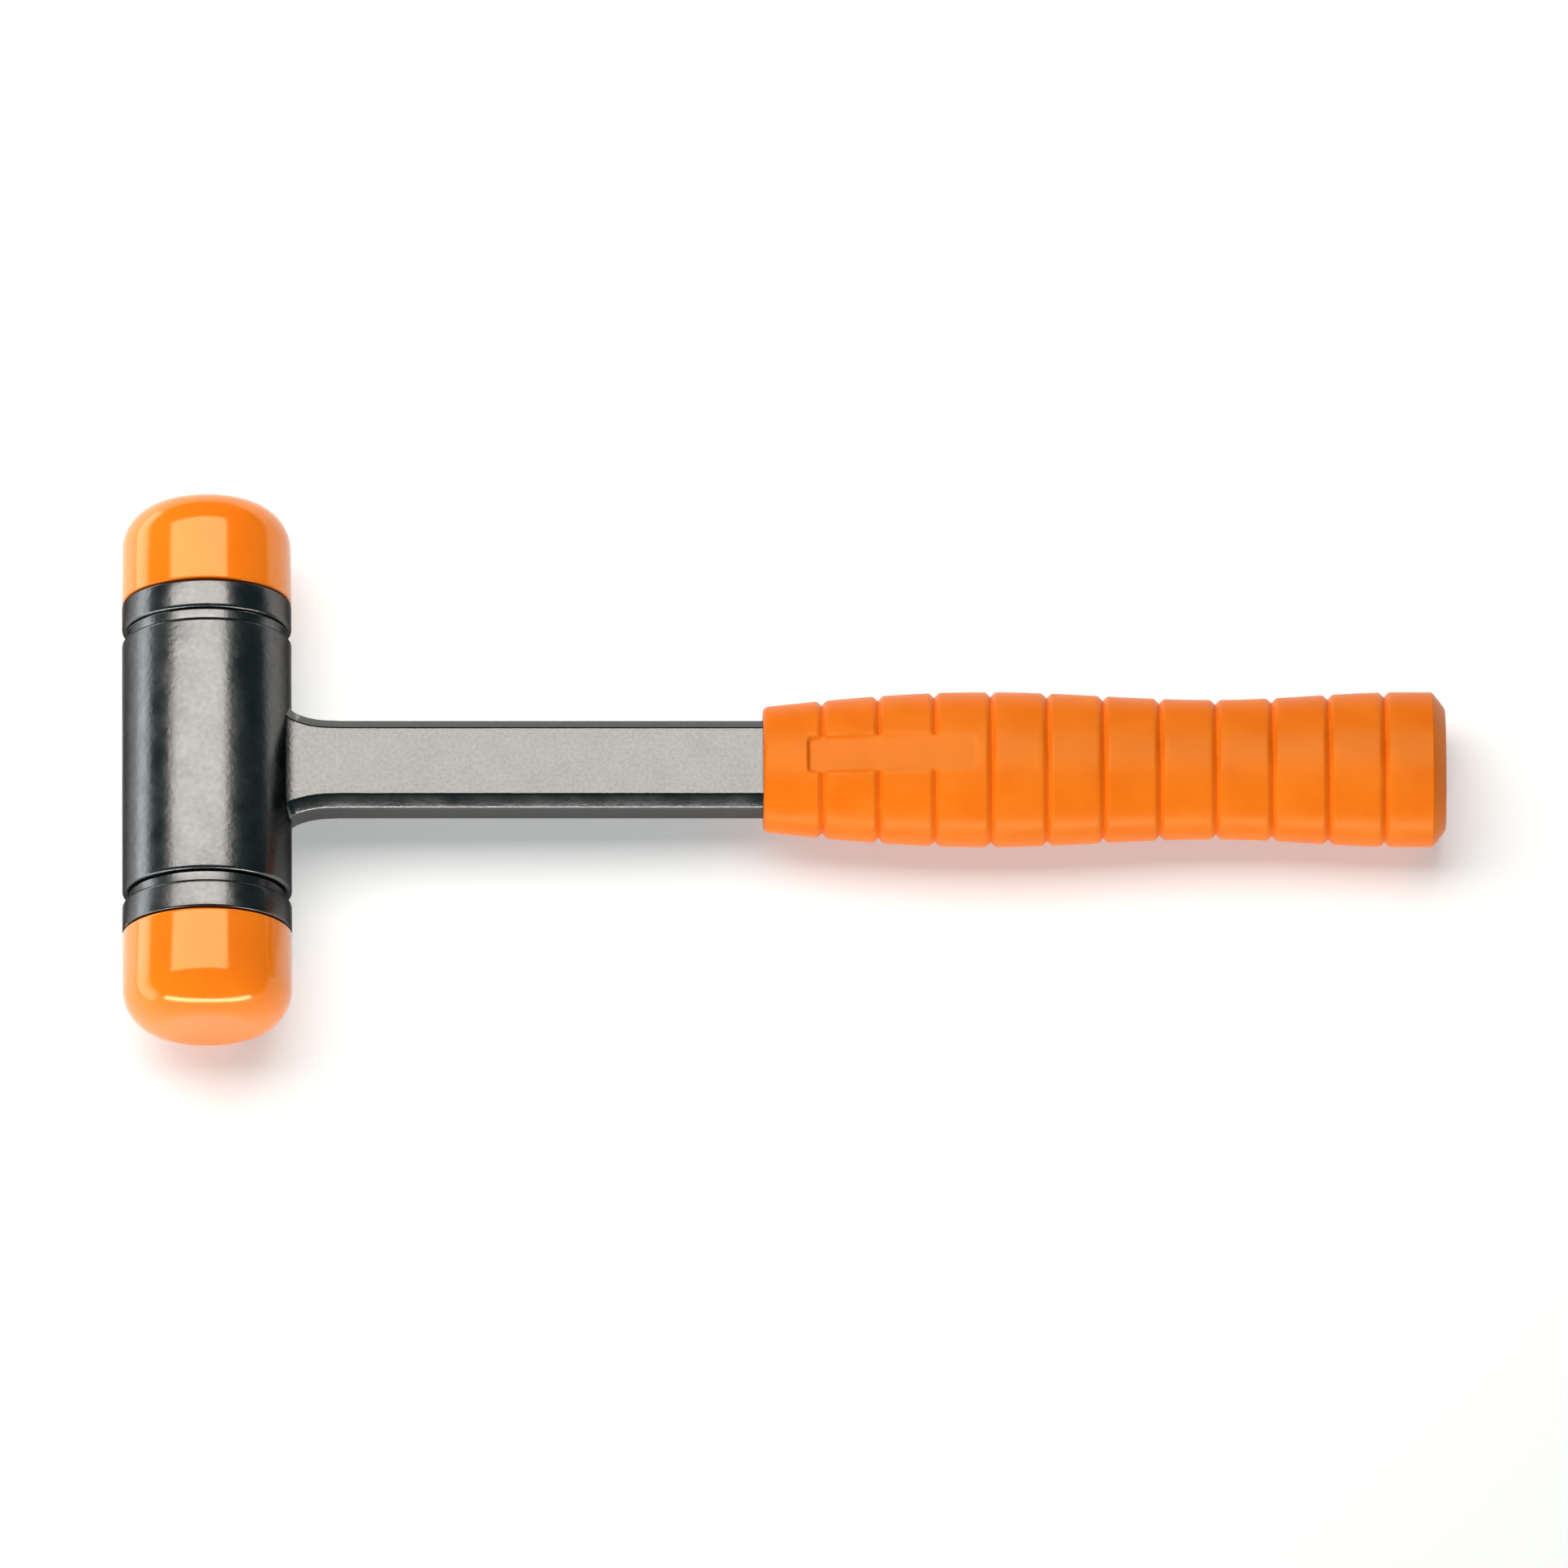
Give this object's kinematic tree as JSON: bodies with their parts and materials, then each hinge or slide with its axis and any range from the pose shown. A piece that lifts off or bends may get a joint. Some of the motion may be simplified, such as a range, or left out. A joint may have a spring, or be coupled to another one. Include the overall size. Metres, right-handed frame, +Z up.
{
  "type": "dead blow hammer",
  "caption": "Dead blow hammer: shot-filled cylindrical steel head with screw-in plastic faces, rectangular tubular steel shaft and ribbed oval moulded grip.",
  "frame": {"origin": "Middle of the base: the centre of the outside box in X and Y, at the lowest line of the head as the hammer lies on its side.", "axes": "+X runs along the handle from the head to the butt, +Y along the head to the rear face, +Z up."},
  "size_m": [0.273, 0.1136, 0.035],
  "materials": {
    "gunmetal": "dark grained steel with a satin clear coat",
    "bright_steel": "plain zinc-plated steel",
    "shot_steel": "bare steel",
    "face_plastic": "glossy orange",
    "grip_rubber": "satin orange"
  },
  "bodies": {
    "head": {"head_sleeve": "gunmetal", "front_plug": "gunmetal", "rear_plug": "gunmetal", "neck_weld": "gunmetal", "shaft": "gunmetal", "grip": "grip_rubber"},
    "shot_charge": {"shot_01": "shot_steel", "shot_02": "shot_steel", "shot_03": "shot_steel", "shot_04": "shot_steel", "shot_05": "shot_steel", "shot_06": "shot_steel", "shot_07": "shot_steel", "shot_08": "shot_steel", "shot_09": "shot_steel", "shot_10": "shot_steel", "shot_11": "shot_steel", "shot_12": "shot_steel", "shot_13": "shot_steel", "shot_14": "shot_steel", "shot_15": "shot_steel", "shot_16": "shot_steel", "shot_17": "shot_steel", "shot_18": "shot_steel", "shot_19": "shot_steel", "shot_20": "shot_steel", "shot_21": "shot_steel", "shot_22": "shot_steel", "shot_23": "shot_steel", "shot_24": "shot_steel"},
    "front_washer_body": {"front_washer": "bright_steel"},
    "front_face_body": {"front_face": "face_plastic", "front_stud": "bright_steel"},
    "rear_washer_body": {"rear_washer": "bright_steel"},
    "rear_face_body": {"rear_face": "face_plastic", "rear_stud": "bright_steel"}
  },
  "joints": [
    {"name": "shot_slide", "type": "slide", "parent": "head", "child": "shot_charge", "axis": [0, 1, 0], "range_m": [-0.0047, 0.0047]},
    {"name": "front_face_travel", "type": "slide", "parent": "head", "child": "front_washer_body", "axis": [0, -1, 0], "range_m": [0, 0.0101]},
    {"name": "front_face_screw", "type": "hinge", "parent": "front_washer_body", "child": "front_face_body", "pos_m": [-0.11905, -0.0568, 0.0175], "axis": [0, -1, 0], "range_deg": [0, 1440]},
    {"name": "rear_face_travel", "type": "slide", "parent": "head", "child": "rear_washer_body", "axis": [0, 1, 0], "range_m": [0, 0.0101]},
    {"name": "rear_face_screw", "type": "hinge", "parent": "rear_washer_body", "child": "rear_face_body", "pos_m": [-0.11905, 0.0568, 0.0175], "axis": [0, 1, 0], "range_deg": [0, 1440]}
  ],
  "couplings": [
    {"joint": "front_face_travel", "follows": "front_face_screw", "m_per_rad": 0.00039789},
    {"joint": "rear_face_travel", "follows": "rear_face_screw", "m_per_rad": 0.00039789}
  ]
}
